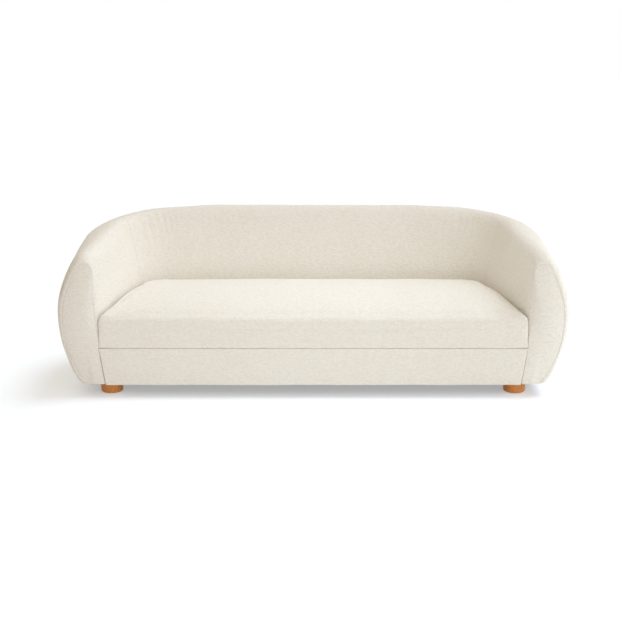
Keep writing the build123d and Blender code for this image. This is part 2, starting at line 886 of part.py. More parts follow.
# Turned wooden feet
foot_bottom = glide_thickness - glide_recess
bolt_bottom = foot_height - bolt_depth_in_foot
for name, (x, y) in foot_places.items():
    with BuildPart() as foot:
        with Locations((x, y, foot_bottom)):
            Cone(
                foot_bottom_diameter / 2,
                foot_diameter / 2,
                foot_height - foot_bottom,
                align=(Align.CENTER, Align.CENTER, Align.MIN),
            )
        fillet(foot.edges().sort_by(Axis.Z)[0], radius=foot_edge_round)
        with Locations((x, y, foot_bottom)):
            Cylinder(
                glide_diameter / 2 + screw_gap,
                glide_recess,
                align=(Align.CENTER, Align.CENTER, Align.MIN),
                mode=Mode.SUBTRACT,
            )
        with Locations((x, y, foot_height)):
            Hole(bolt_diameter / 2 + screw_gap, depth=bolt_depth_in_foot)
    save(foot.part, name)

with BuildPart() as foot_glides:
    with Locations(*[(x, y, 0) for x, y in foot_places.values()]):
        Cylinder(glide_diameter / 2, glide_thickness, align=(Align.CENTER, Align.CENTER, Align.MIN))
save(foot_glides.part, "foot_glides")

with BuildPart() as foot_bolts:
    with Locations(*[(x, y, bolt_bottom) for x, y in foot_places.values()]):
        Cylinder(bolt_diameter / 2, bolt_length, align=(Align.CENTER, Align.CENTER, Align.MIN))
save(foot_bolts.part, "foot_bolts")

with BuildPart() as tee_nuts:
    with Locations(*[(x, y, base_top) for x, y in foot_places.values()]):
        Cylinder(
            nut_flange_diameter / 2,
            nut_flange_thickness,
            align=(Align.CENTER, Align.CENTER, Align.MAX),
        )
        Cylinder(
            nut_barrel_diameter / 2,
            nut_barrel_length,
            align=(Align.CENTER, Align.CENTER, Align.MAX),
        )
        Hole(bolt_diameter / 2 + screw_gap, depth=nut_barrel_length)
save(tee_nuts.part, "tee_nuts")
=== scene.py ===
import bmesh
import bpy
import json
import math
import numpy as np
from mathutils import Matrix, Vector, noise


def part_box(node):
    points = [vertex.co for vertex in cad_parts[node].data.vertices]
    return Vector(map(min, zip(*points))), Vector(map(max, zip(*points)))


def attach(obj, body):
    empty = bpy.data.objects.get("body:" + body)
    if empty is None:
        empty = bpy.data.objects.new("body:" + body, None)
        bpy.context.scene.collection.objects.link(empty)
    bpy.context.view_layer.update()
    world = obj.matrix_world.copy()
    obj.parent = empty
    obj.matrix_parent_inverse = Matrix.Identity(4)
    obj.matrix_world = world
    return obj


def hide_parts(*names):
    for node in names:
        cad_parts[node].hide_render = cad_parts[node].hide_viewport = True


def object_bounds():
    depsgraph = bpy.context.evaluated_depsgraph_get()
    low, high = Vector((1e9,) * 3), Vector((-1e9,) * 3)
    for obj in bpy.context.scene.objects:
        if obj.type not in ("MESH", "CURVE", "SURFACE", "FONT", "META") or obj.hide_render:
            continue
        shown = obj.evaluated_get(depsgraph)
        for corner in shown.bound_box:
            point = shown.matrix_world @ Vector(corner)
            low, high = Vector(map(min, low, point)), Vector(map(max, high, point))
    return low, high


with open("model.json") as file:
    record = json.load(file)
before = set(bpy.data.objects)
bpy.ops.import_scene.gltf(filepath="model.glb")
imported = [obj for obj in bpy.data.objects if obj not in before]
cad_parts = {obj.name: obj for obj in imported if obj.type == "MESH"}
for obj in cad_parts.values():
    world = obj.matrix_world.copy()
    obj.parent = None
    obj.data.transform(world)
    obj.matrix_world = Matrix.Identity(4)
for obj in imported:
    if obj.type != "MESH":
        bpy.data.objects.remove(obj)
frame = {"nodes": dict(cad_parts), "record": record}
cadLow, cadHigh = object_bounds()
scene = bpy.context.scene
scene.view_settings.view_transform = "Standard"
print("frame loaded:", len(frame["nodes"]), "CAD nodes")


cameraSetup = {
    "place": (-0.0146, -5.2965, 1.6125),  # metres, in front of the sofa at standing height
    "tilt": 76.0,  # degrees up from straight down
    "lens": 65.8,  # millimetres on the sensor below
    "sensor": 36.0,
}
cameraData = bpy.data.cameras.new("studioCamera")
cameraData.lens = cameraSetup["lens"]
cameraData.sensor_width = cameraSetup["sensor"]
camera = bpy.data.objects.new("studioCamera", cameraData)
camera.location = cameraSetup["place"]
camera.rotation_euler = (math.radians(cameraSetup["tilt"]), 0, 0)
scene.collection.objects.link(camera)
scene.camera = camera


def linearColor(code):
    # sRGB hex to the linear colour that the shaders work in
    parts = [int(code[i:i + 2], 16) / 255 for i in (1, 3, 5)]
    return [c / 12.92 if c <= 0.04045 else ((c + 0.055) / 1.055) ** 2.4 for c in parts] + [1.0]


def setInputs(tree, node, values):
    # each value is a socket to link, or a constant
    for socket, value in values.items():
        if isinstance(value, bpy.types.NodeSocket):
            tree.links.new(value, node.inputs[socket])
        else:
            node.inputs[socket].default_value = value


def addNode(tree, kind, values=None, **settings):
    node = tree.nodes.new(kind)
    for name, value in settings.items():
        setattr(node, name, value)
    setInputs(tree, node, values or {})
    return node


def newMaterial(name):
    material = bpy.data.materials.new(name)
    material.use_nodes = True
    tree = material.node_tree
    shader = tree.nodes["Principled BSDF"]
    place = addNode(tree, "ShaderNodeTexCoord").outputs["Object"]
    return material, tree, shader, place


def perMm(size):
    # texture scale for a pattern that repeats at this many millimetres
    return 1000.0 / size


def addNoise(tree, place, sizeMm, detail, **more):
    values = {"Vector": place, "Scale": perMm(sizeMm), "Detail": detail, **more}
    return addNode(tree, "ShaderNodeTexNoise", values).outputs


def mapped(tree, value, source=(0.0, 1.0), target=(0.0, 1.0)):
    # a value of one range brought into another
    ends = dict(zip(("From Min", "From Max", "To Min", "To Max"), source + target))
    return addNode(tree, "ShaderNodeMapRange", {"Value": value, **ends}).outputs[0]


def blend(tree, factor, low, high):
    # colour between two sRGB codes or two sockets
    low, high = (linearColor(end) if isinstance(end, str) else end for end in (low, high))
    values = {"Factor": factor, "A": low, "B": high}
    return addNode(tree, "ShaderNodeMix", values, data_type="RGBA").outputs[2]


def addBump(tree, height, strength, reliefMm):
    values = {"Height": height, "Strength": strength, "Distance": reliefMm / 1000}
    return addNode(tree, "ShaderNodeBump", values).outputs[0]


# Boucle: looped wool yarn in a loose weave. Matt, with a nubby skin and painted shade in its colour:
# the hollows between the loops go darker and warmer, and the loop crowns stay light as if catching the
# light.
boucleLook = {
    "loopTop": "#F6F4EE",
    # painted shade: the darker, warmer colour in the hollows between the loops
    "loopHollowShade": "#E2DACA",
    "paleTone": "#F6F4ED",
    "warmTone": "#F2ECE1",
    "loopMm": 9.0,  # real loops are about 4 mm; coarser here, so that they show
    "loopStretch": (0.6, 0.9, 1.25),  # the yarn lies across, so the loops are longer than high
    "fibreMm": 3.2,
    "wanderMm": 24.0,
    "wanderReachMm": 8.0,  # how far the rows of loops stray
    "toneMm": 240.0,
    "reliefMm": 2.6,
    "bump": 0.7,
    "loopBlur": 0.55,
    "loopDome": (0.1, 0.75),  # from a loop's top to the hollow round it
    "fibreShare": 0.3,
    "loopShare": 0.5,  # of the colour, the loops with their painted shade; the rest is the slow change of tone
}


def makeBoucle():
    look = boucleLook
    material, tree, shader, place = newMaterial("looped wool boucle")
    wander = addNoise(tree, place, look["wanderMm"], 2.0)["Color"]
    reach = [look["wanderReachMm"] / 1000] * 3
    shift = {0: wander, 1: reach, 2: place}
    drift = addNode(tree, "ShaderNodeVectorMath", shift, operation="MULTIPLY_ADD")
    lying = addNode(tree, "ShaderNodeMapping", {"Vector": drift.outputs[0], "Scale": look["loopStretch"]})
    loops = addNode(tree, "ShaderNodeTexVoronoi", {
        "Vector": lying.outputs[0], "Scale": perMm(look["loopMm"]), "Smoothness": look["loopBlur"],
    }, feature="SMOOTH_F1")
    dome = mapped(tree, loops.outputs["Distance"], look["loopDome"], (1.0, 0.0))
    fibres = addNoise(tree, place, look["fibreMm"], 3.0)["Fac"]
    yarn = {"Factor": look["fibreShare"], "A": dome, "B": fibres}
    skin = addNode(tree, "ShaderNodeMix", yarn).outputs[0]
    broad = addNoise(tree, place, look["toneMm"], 2.0)["Fac"]
    tone = blend(tree, broad, look["paleTone"], look["warmTone"])
    # painted shade: colour darker in the loops' hollows, lighter on their crowns
    shadedLoops = blend(tree, skin, look["loopHollowShade"], look["loopTop"])
    setInputs(tree, shader, {
        "Base Color": blend(tree, look["loopShare"], tone, shadedLoops),
        "Normal": addBump(tree, skin, look["bump"], look["reliefMm"]),
        "Roughness": 0.95, "Specular IOR Level": 0.15, "Sheen Weight": 0.15, "Sheen Roughness": 0.6,
    })
    return material


# Beech, turned and oiled: warm orange-brown with fine upright grain, dark pore flecks
# and a low sheen from the oil.
beechLook = {
    "pale": "#E0964A",
    "dark": "#C67833",
    "fleck": "#A35E2A",
    "grainMm": 7.0,
    "fleckMm": 1.6,
    "stretch": 0.12,  # the grain runs up the foot, so the pattern is drawn out that way
    "fleckRange": (0.58, 0.72),  # above this the noise is a pore
    "roughness": (0.38, 0.52),
    "reliefMm": 0.6,
}


def makeBeech():
    look = beechLook
    material, tree, shader, place = newMaterial("oiled turned beech")
    upright = (1.0, 1.0, look["stretch"])
    grain = addNode(tree, "ShaderNodeMapping", {"Vector": place, "Scale": upright}).outputs[0]
    rings = addNoise(tree, grain, look["grainMm"], 4.0, Roughness=0.6, Distortion=0.4)["Fac"]
    flecks = addNoise(tree, grain, look["fleckMm"], 1.0)["Fac"]
    pores = mapped(tree, flecks, look["fleckRange"])
    wood = blend(tree, rings, look["dark"], look["pale"])
    setInputs(tree, shader, {
        "Base Color": blend(tree, pores, wood, look["fleck"]),
        "Roughness": mapped(tree, rings, target=look["roughness"]),
        "Normal": addBump(tree, rings, 0.25, look["reliefMm"]),
        "IOR": 1.5,
    })
    return material


# Plain woven and felted goods that sit under the boucle: matt, with threads or fibres
# that break up one quiet colour.
def makeCloth(name, thread, gap, threadMm, reliefMm, felted=False):
    material, tree, shader, place = newMaterial(name)
    if felted:
        height = addNoise(tree, place, threadMm, 4.0)["Fac"]
    else:
        bandsInRepeat = 6
        wave = {"Vector": place, "Scale": perMm(threadMm * bandsInRepeat), "Distortion": 0.6}
        warp = addNode(tree, "ShaderNodeTexWave", wave, bands_direction="X").outputs["Fac"]
        weft = addNode(tree, "ShaderNodeTexWave", wave, bands_direction="Y").outputs["Fac"]
        height = addNode(tree, "ShaderNodeMath", {0: warp, 1: weft}, operation="MAXIMUM").outputs[0]
    setInputs(tree, shader, {
        "Base Color": blend(tree, height, gap, thread),
        "Normal": addBump(tree, height, 0.5, reliefMm),
        "Roughness": 0.92, "Specular IOR Level": 0.2,
    })
    return material


# Sheet and sawn timber of the hidden frame: pale, with long grain or pressed fibres.
def makeBoard(name, pale, dark, grainMm, stretch):
    material, tree, shader, place = newMaterial(name)
    grain = addNode(tree, "ShaderNodeMapping", {"Vector": place, "Scale": stretch}).outputs[0]
    fibres = addNoise(tree, grain, grainMm, 5.0)["Fac"]
    setInputs(tree, shader, {
        "Base Color": blend(tree, fibres, dark, pale),
        "Normal": addBump(tree, fibres, 0.3, 0.5),
        "Roughness": 0.65,
    })
    return material


# Drawn and plated metal: a soft reflection, dulled in fine streaks.
def makeMetal(name, bright, dull, streakMm, shine):
    material, tree, shader, place = newMaterial(name)
    streaks = addNoise(tree, place, streakMm, 3.0)["Fac"]
    setInputs(tree, shader, {
        "Base Color": blend(tree, streaks, dull, bright),
        "Roughness": mapped(tree, streaks, target=(shine, shine + 0.2)),
        "Metallic": 1.0,
    })
    return material


finishes = {
    "upholstery_cloth": makeBoucle(),
    "foot_wood": makeBeech(),
    "dust_cloth": makeCloth("black spunbond", "#232323", "#0E0E0E", 5.0, 0.3, felted=True),
    "deck_cloth": makeCloth("plain cotton decking", "#D8D0BE", "#B4AA94", 1.6, 0.4),
    "foam": makeCloth("cut seat foam", "#EFE6C8", "#D6C99C", 3.0, 0.8, felted=True),
    "wadding": makeCloth("polyester wadding", "#F2F2EE", "#D9DAD6", 9.0, 2.0, felted=True),
    "felt": makeCloth("pressed wool felt", "#4A4038", "#2C2620", 2.0, 0.4, felted=True),
    "webbing": makeCloth("elastic webbing", "#2A2A2A", "#121212", 2.2, 0.5),
    "zip_tape": makeCloth("woven zip tape", "#E6DFD0", "#B9B09C", 1.4, 0.3),
    "skin_board": makeBoard("pressed hardboard", "#8F6D4A", "#6A4E33", 2.5, (1.0, 1.0, 1.0)),
    "frame_timber": makeBoard("birch plywood", "#DDBF92", "#C09D6C", 6.0, (0.08, 1.0, 1.0)),
    "steel": makeMetal("drawn spring steel", "#B9BCC0", "#7E8287", 6.0, 0.3),
    "zip_metal": makeMetal("plated zinc", "#B7AE98", "#8F866F", 3.0, 0.25),
}
for part in frame["record"]["subparts"]:
    node = frame["nodes"][part["node"]]
    node.data.materials.clear()
    node.data.materials.append(finishes[part["material_slot"]])
print("materials set on the CAD nodes")


# The wall of arms and back: the same plan and section as the CAD covers, in metres.
wall = {
    "armReach": 0.453,
    "backReach": 0.448,
    "armThickness": 0.186,
    "cornerThickness": 0.288,
    "backThickness": 0.268,
    "cornerPath": 0.300,
    "seamAngle": 30.0,
    "backTaper": 0.230,
    "widestHeight": 0.374,
    "junctionHeight": 0.400,
    "armLean": 0.012,
    "backLean": 0.086,
    "rollDepth": 0.062,
    "ridgeOffset": 0.054,
    "shoulderInset": 0.067,
    "shoulderDrop": 0.054,
    "shoulderAngle": math.radians(30),
    "footInset": 0.093,
    "footAngle": math.radians(33),
    "riseShare": 0.74,
    "rollFullness": 0.55,
    "ridgeFullness": 0.41,
    "barrelFullness": 0.34,
    "widestFullness": 0.375,
    "turnUnder": 0.035,  # cloth turned under the foot line and stapled
    "footRound": 0.012,  # how far from the foot line the edge starts to round
    "seatSoftening": 0.070,  # how far along the wall foam evens out a change, on the seat side
    "outerSoftening": 0.022,
    "softReach": 0.21,  # the evening looks this far along the wall, each way
    "runMargin": 0.32,  # and so needs the wall's sections past both ends
    "firmFrom": (0.55, 0.95),  # shares of the inside line, from soft to firm
    "foamMiddle": (0.30, 0.42),  # out from the corner's axis, and up
    "lineRows": 62,
    "armSteps": 46,
    "backSteps": 122,
    "cloth": 0.002,
}
frontY = cadLow.y
cornerX = cadHigh.x - wall["armReach"]
cornerDepth = cadHigh.y - cadLow.y - wall["backReach"]
cornerY = frontY + cornerDepth
cornerRun = wall["cornerPath"] * math.pi / 2
halfRun = cornerDepth + cornerRun + cornerX
seamRun = cornerDepth + cornerRun * wall["seamAngle"] / 90
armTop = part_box("right_arm_front_pad")[1].z
backTop = cadHigh.z
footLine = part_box("outside_back_cover")[0].z
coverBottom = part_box("inside_back_cover")[0].z
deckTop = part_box("deck_cloth")[1].z
frontSeat = wall["armReach"] - wall["armThickness"]
cornerSeat = wall["backReach"] - wall["cornerThickness"]
backSeat = wall["backReach"] - wall["backThickness"]


def mixed(start, end, share):
    return start + (end - start) * min(max(share, 0.0), 1.0)


def smooth(low, high, value):
    share = np.clip((value - low) / (high - low), 0.0, 1.0)
    return share * share * (3 - 2 * share)


def hump(values, middle, width):
    # 1 at the middle, falling away on both sides
    return np.exp(-((values - middle) / width) ** 2)


def seatReach(half):
    if half <= cornerDepth:
        return frontSeat + (cornerSeat - frontSeat) * half / cornerDepth
    return mixed(cornerSeat, backSeat, (half - cornerDepth - cornerRun) / wall["backTaper"])


def bezier(a, b, c, d, count=14):
    t = np.linspace(0, 1, count + 1)[1:, None]
    a, b, c, d = (np.array(p) for p in (a, b, c, d))
    return a * (1 - t) ** 3 + 3 * b * t * (1 - t) ** 2 + 3 * c * t * t * (1 - t) + d * t ** 3


def wallSection(run):
    # inside line from deck to shoulder seam, outside line from there to the foot
    half = min(run, 2 * halfRun - run)
    rise = math.sin(math.pi / 2 * min(half / halfRun / wall["riseShare"], 1.0))
    ridgeZ = armTop + (backTop - armTop) * rise
    reach = mixed(wall["armReach"], wall["backReach"], (half - cornerDepth) / cornerRun)
    inner = seatReach(half)
    lean = inner + wall["armLean"] + (wall["backLean"] - wall["armLean"]) * rise
    roll = np.array((lean, ridgeZ - wall["rollDepth"]))
    ridge = np.array((roll[0] + wall["ridgeOffset"], ridgeZ))
    shoulderWay = np.array((math.sin(wall["shoulderAngle"]), -math.cos(wall["shoulderAngle"])))
    footWay = np.array((-math.sin(wall["footAngle"]), -math.cos(wall["footAngle"])))
    seam = np.array((reach - wall["shoulderInset"], ridgeZ - wall["shoulderDrop"]))
    deck, junction = np.array(((inner, coverBottom), (inner, wall["junctionHeight"])))
    widest, foot = np.array(((reach, wall["widestHeight"]), (reach - wall["footInset"], footLine)))
    leanWay = (roll - junction) / np.linalg.norm(roll - junction)
    inside = np.vstack([
        np.linspace(deck, junction, 8),
        np.linspace(junction, roll, 12)[1:],
        bezier(roll, roll + leanWay * wall["rollFullness"] * (ridge[1] - roll[1]),
               ridge - (wall["rollFullness"] * (ridge[0] - roll[0]), 0), ridge),
        bezier(ridge, ridge + (wall["ridgeFullness"] * (seam[0] - ridge[0]), 0),
               seam - shoulderWay * wall["ridgeFullness"] * (ridge[1] - seam[1]), seam),
    ])
    barrel = wall["barrelFullness"]
    widestHandle = np.array((0, wall["widestFullness"]))
    flank = bezier(widest, widest - widestHandle * (widest[1] - foot[1]),
                   foot - footWay * barrel * np.linalg.norm(widest - foot), foot, 40)
    flank = flank[np.linalg.norm(flank - foot, axis=1) > wall["footRound"]]
    under = foot - (wall["footRound"], 0)
    outside = np.vstack([
        [seam],
        bezier(seam, seam + shoulderWay * barrel * np.linalg.norm(seam - widest),
               widest + widestHandle * (seam[1] - widest[1]), widest),
        flank,
        bezier(flank[-1], flank[-1] + (foot - flank[-1]) * 0.6, under + (foot - under) * 0.6, under, 8),
        np.linspace(under, foot - (wall["turnUnder"], 0), 4)[1:],
    ])
    return inside, outside


def wallPlace(run, points):
    # section points, outwards and up, to places in the part's frame
    half = min(run, 2 * halfRun - run)
    angle = math.pi / 2 * min(max((half - cornerDepth) / cornerRun, 0.0), 1.0)
    x = cornerX - max(half - cornerDepth - cornerRun, 0.0) + points[:, 0] * math.cos(angle)
    y = frontY + min(half, cornerDepth) + points[:, 0] * math.sin(angle)
    side = -1 if run > halfRun else 1
    return np.stack([side * x, y, points[:, 1]], axis=1)


seamSpots = np.array([0.0, 0.0015, 0.004, 0.008, 0.014])  # rows drawn close together beside a seam


def spread(length, count):
    # even spots along a line, closer at both ends for the seams
    middle = np.linspace(seamSpots[-1], length - seamSpots[-1], count)
    return np.concatenate([seamSpots[:-1], middle, length - seamSpots[-2::-1]])


def resample(line, count):
    steps = np.concatenate([[0], np.cumsum(np.linalg.norm(np.diff(line, axis=0), axis=1))])
    spots = spread(steps[-1], count)
    return np.stack([np.interp(spots, steps, line[:, axis]) for axis in range(line.shape[1])], axis=1)


runStep = 0.01
softSpan = int(wall["softReach"] / runStep)


def softened(rows, reach):
    # evens out the wall along its run, as foam does, without pulling straight stretches in
    weights = np.exp(-0.5 * (np.arange(-softSpan, softSpan + 1) * runStep / reach) ** 2)
    weights /= weights.sum()
    return sum(w * rows[i:len(rows) - 2 * softSpan + i] for i, w in enumerate(weights))


def wallLines(run):
    return [wallPlace(run, resample(line, wall["lineRows"])) for line in wallSection(run)]


wideRuns = np.arange(-wall["runMargin"], halfRun + wall["runMargin"], runStep)
wideInside, wideOutside = (np.array(lines) for lines in zip(*map(wallLines, wideRuns)))
softInside = softened(wideInside, wall["seatSoftening"])
firmInside = softened(wideInside, wall["outerSoftening"])
smoothOutside = softened(wideOutside, wall["outerSoftening"])
firmness = smooth(*wall["firmFrom"], np.linspace(0, 1, softInside.shape[1]))[None, :, None]
smoothInside = softInside * (1 - firmness) + firmInside * firmness
smoothRuns = wideRuns[softSpan:len(wideRuns) - softSpan]


def atRuns(rows, runs):
    # the wall's rows at any runs, between the even ones
    flat = rows.reshape(len(rows), -1)
    spots = np.interp(runs, smoothRuns, np.arange(len(smoothRuns)))
    low = np.clip(spots.astype(int), 0, len(rows) - 2)
    share = (spots - low)[:, None]
    return (flat[low] * (1 - share) + flat[low + 1] * share).reshape(len(runs), -1, 3)


def gridNormals(grid):
    along = np.gradient(grid, axis=0)
    across = np.gradient(grid, axis=1)
    normals = np.cross(along, across)
    return normals / np.maximum(np.linalg.norm(normals, axis=2, keepdims=True), 1e-9)


def unevenness(points, size, depth, seed):
    # slow hills and hollows that hand-fitted foam and cloth have
    offset = Vector((seed * 7.3, seed * 3.1, seed * 5.7))
    flat = points.reshape(-1, 3)
    values = [noise.noise(Vector(p) / size + offset) for p in flat]
    return np.array(values).reshape(points.shape[:-1]) * depth


def newMesh(name, points, faces):
    mesh = bpy.data.meshes.new(name)
    mesh.from_pydata(np.asarray(points).tolist(), [], faces)
    mesh.update()
    return mesh


def meshFromGrid(name, grid, place):
    # a sheet of quads whose normals turn away from the middle of the padding behind it
    rows, columns = grid.shape[:2]
    starts = [i * columns + j for i in range(rows - 1) for j in range(columns - 1)]
    faces = [(a, a + 1, a + columns + 1, a + columns) for a in starts]
    mesh = newMesh(name, grid.reshape(-1, 3), faces)
    row, column = rows // 2, columns // 2
    outwards = place[row, column] - wallMiddle(place)[row, column]
    isTurned = np.dot(mesh.vertices[row * columns + column].normal, outwards) < 0
    return subdivide(sewCloth(name, mesh, isTurned))


def ringFaces(rings, count):
    # quads between neighbouring rings of points
    faces = []
    for k in range(rings - 1):
        for i in range(count):
            j = (i + 1) % count
            faces.append((k * count + i, k * count + j, (k + 1) * count + j, (k + 1) * count + i))
    return faces


def finishMesh(name, mesh, material="upholstery_cloth"):
    mesh.polygons.foreach_set("use_smooth", [True] * len(mesh.polygons))
    mesh.materials.append(finishes[material])
    piece = bpy.data.objects.new(name, mesh)
    scene.collection.objects.link(piece)
    return piece


def sewCloth(name, mesh, isTurned, material="upholstery_cloth", thickness=wall["cloth"]):
    # the mesh right side out, as thick as its cloth
    if isTurned:
        mesh.flip_normals()
    piece = finishMesh(name, mesh, material)
    shell = piece.modifiers.new("cloth thickness", "SOLIDIFY")
    shell.thickness = thickness
    shell.offset = -1
    return piece


def subdivide(piece):
    surface = piece.modifiers.new("soft surface", "SUBSURF")
    surface.levels = surface.render_levels = 1
    return piece


# Covers of arms and back: tight over shaped foam, dressed as one wall so that neighbours
# meet in their seams.
coverLook = {
    "hillSize": 0.17,
    "hillDepth": 0.0026,
    "shoulderDip": 0.0035,  # how deep the cloth dives at a seam
    "armSeamDip": 0.0010,
    "dipWidth": 0.008,
    "puckerDepth": 0.0009,
    "puckerReach": 0.030,
    "puckerSize": 0.021,
    "gatherSize": 0.036,
    "gatherDepth": 0.0012,
    "gatherWidth": 0.10,  # along the wall, each side of the gathers' middle
    "gatherFall": 0.10,  # how far down from the ridge they show
    "gatherTurn": 51.0,  # degrees round the corner
    "gatherAxis": 0.12,  # the gathers fan out from this far inside the corner's axis
    "gatherTop": 0.045,  # below the ridge
    "armPuckers": 0.6,  # gathers at the arm's seam, as a share of those at the shoulder
    "frontCalm": 0.07,  # the front edge is smooth up to here
}
# Front of each arm: the covers roll round the edge to the seam of a lobe-shaped panel.
armLook = {
    "rollBack": 0.090,  # where the front edge starts to round
    "seamSetBack": 0.014,  # the panel's seam lies this far behind the foremost point
    "rimForward": 0.009,
    "rollTurn": 88.0,  # degrees that the cloth has turned when it meets the seam
    "rollPower": 0.77,  # below 1 it is tighter than a circle, and clears the board inside
    "rollSteps": 12,
    "lowLate": 0.9,  # low down the roll stays full for longer, over the end of the board
    "lateHeights": (0.17, 0.09),
    "levelHeights": (0.374, 0.30),  # below these the outside meets the seam level
    "rimHeights": (0.37, 0.26),  # below these the seam comes forward beside the border
    "tucks": (0.010, 0.0017),  # depths of the cloth turned in behind the seam
    "deepTuck": 0.022,  # added at the foot and under the seat
    "crown": 0.014,  # how far the padded panel stands out of its seam
    "heelTaper": 0.023,  # the panel's inner edge slants under the seat, as the border does
    "heart": (0.335, 0.33),  # outwards and up; the panel's rings close here
    "heartSides": (0.013, 0.050, 0.02),  # in from the heart: the rim's turn, and the inner edge
    "rings": (0.9965, 0.98, 0.96, 0.93, 0.89, 0.84, 0.78, 0.70, 0.60, 0.50, 0.40, 0.30, 0.20, 0.10),
    "ringPower": 2.2,
    "firstRingBack": 0.0004,  # so that the seam shows as a fine line
    "hillSize": 0.09,
    "hillDepth": 0.0018,
    "lobe": (  # the panel's seam, outwards and up, from the foot of its inner edge over the top
        (0.244, 0.057), (0.2555, 0.140), (0.267, 0.223), (0.269, 0.277), (0.276, 0.325), (0.281, 0.370),
        (0.282, 0.440), (0.281, 0.510), (0.280, 0.555), (0.285, 0.584), (0.300, 0.600), (0.321, 0.606),
        (0.343, 0.599), (0.360, 0.580), (0.374, 0.549), (0.394, 0.500), (0.414, 0.440), (0.424, 0.371),
        (0.423, 0.301), (0.408, 0.215), (0.374, 0.131), (0.351, 0.093), (0.335, 0.072), (0.325, 0.062),
        (0.316, 0.057),
    ),
}
lobePoints = np.array(armLook["lobe"])
heartPoint = np.array(armLook["heart"])


def smoothLine(points):
    # a smooth line through points
    padded = np.vstack([2 * points[0] - points[1], points, 2 * points[-1] - points[-2]])
    line = [points[0]]
    for i in range(1, len(padded) - 2):
        before, start, end, after = padded[i - 1:i + 3]
        line.extend(bezier(start, start + (end - before) / 6, end - (after - start) / 6, end, 8))
    return np.array(line)


def polar(points):
    # angle round the lobe's heart, counted from straight down towards the seat, and distance
    away = points - heartPoint
    return np.arctan2(-away[:, 0], -away[:, 1]) % (2 * math.pi), np.linalg.norm(away, axis=1)


lobeLine = smoothLine(lobePoints)
lobeAngles, lobeReach = polar(lobeLine)
lobeOrder = np.argsort(lobeAngles)


def onLobe(line):
    # where each point of the arm's section meets the panel's seam
    section = np.stack([line[:, 0] - cornerX, line[:, 2]], axis=1)
    angles = polar(section)[0]
    reach = np.interp(angles, lobeAngles[lobeOrder], lobeReach[lobeOrder], period=2 * math.pi)
    spot = heartPoint + np.stack([-np.sin(angles), -np.cos(angles)], axis=1) * reach[:, None]
    # low on the outside, the seam is met level, so that the foot line stays level
    outer = lobeLine[np.argmax(lobeLine[:, 1]):][::-1]
    foot = wall["armReach"] - wall["footInset"]
    level = np.stack([np.interp(section[:, 1], outer[:, 1], outer[:, 0]), section[:, 1]], axis=1)
    level[:, 0] += np.where(section[:, 1] < footLine + 0.0005, np.minimum(section[:, 0] - foot, 0), 0)
    isOutside = np.arange(len(line)) >= smoothInside.shape[1]
    share = (smooth(*armLook["levelHeights"], section[:, 1]) * isOutside)[:, None]
    spot = spot * (1 - share) + level * share
    return np.stack([spot[:, 0] + cornerX, line[:, 1], spot[:, 1]], axis=1)


def rimForward(up, innerShare):
    # beside the seat border the panel's seam comes forward to meet it
    return armLook["rimForward"] * smooth(*armLook["rimHeights"], up) * innerShare


def halfWall():
    # rows from the panel's seam, along the arm and to the middle of the back
    look = armLook
    allRows = np.concatenate([smoothInside, smoothOutside[:, 1:]], axis=1)
    span = look["rollBack"] - look["seamSetBack"]
    power = look["rollPower"]
    most = math.radians(look["rollTurn"])
    edge = []
    seamSection = atRuns(allRows, np.array([look["seamSetBack"]]))[0]
    draw = onLobe(seamSection) - seamSection
    isInside = np.arange(len(seamSection)) < wall["lineRows"]
    draw[isInside & (seamSection[:, 2] < deckTop)] = 0.0
    late = 1 + look["lowLate"] * smooth(*look["lateHeights"], seamSection[:, [2]])
    for turn in np.linspace(most, 0, look["rollSteps"] + 1)[:-1]:
        depth = look["seamSetBack"] + span * (1 - (math.sin(turn) / math.sin(most)) ** power)
        share = (1 - math.cos(turn) ** power) / (1 - math.cos(most) ** power)
        line = atRuns(allRows, np.array([depth]))[0] + draw * share ** late
        line[:, 1] -= rimForward(line[:, 2], isInside) * share
        edge.append(line)
    tucked = [edge[0] + np.array((0, depth, 0)) for depth in look["tucks"]]
    armEven = np.linspace(look["rollBack"], seamRun - seamSpots[-1], wall["armSteps"])
    arm = np.concatenate([armEven, seamRun - seamSpots[-2:0:-1]])
    backEven = np.linspace(seamSpots[-1], halfRun - seamRun, wall["backSteps"])
    back = seamRun + np.concatenate([seamSpots[:-1], backEven])
    rows = np.concatenate([np.array(tucked), np.array(edge), atRuns(allRows, arm), atRuns(allRows, back)])
    return rows, len(tucked), len(tucked) + len(edge) + len(arm)


def wallMiddle(points):
    # foot of each point on the line that runs through the middle of the wall's foam
    x, y = np.abs(points[..., 0]), points[..., 1]
    radius, height = wall["foamMiddle"]
    angle = np.clip(np.arctan2(np.maximum(y - cornerY, 0), np.maximum(x - cornerX, 1e-9)), 0, math.pi / 2)
    footX = np.minimum(x, cornerX) * (y >= cornerY) + cornerX * (y < cornerY) + radius * np.cos(angle)
    footY = np.minimum(y, cornerY) + radius * np.sin(angle)
    return np.stack([np.sign(points[..., 0]) * footX, footY, np.full_like(x, height)], axis=-1)


def along(grid, axis):
    # distance from the grid's first line, along one axis
    steps = np.linalg.norm(np.diff(grid, axis=axis), axis=2)
    start = np.zeros_like(np.take(steps, [0], axis=axis))
    return np.concatenate([start, np.cumsum(steps, axis=axis)], axis=axis)


def dip(distance, depth):
    return -depth * np.clip(1 - distance / coverLook["dipWidth"], 0, 1) ** 2


def puckers(distance, run, seed):
    # small gathers that run away from a sewn edge
    wave = np.sin(2 * math.pi * run / coverLook["puckerSize"] + 3 * np.sin(run * 31 + seed))
    return coverLook["puckerDepth"] * wave * np.exp(-distance / coverLook["puckerReach"])


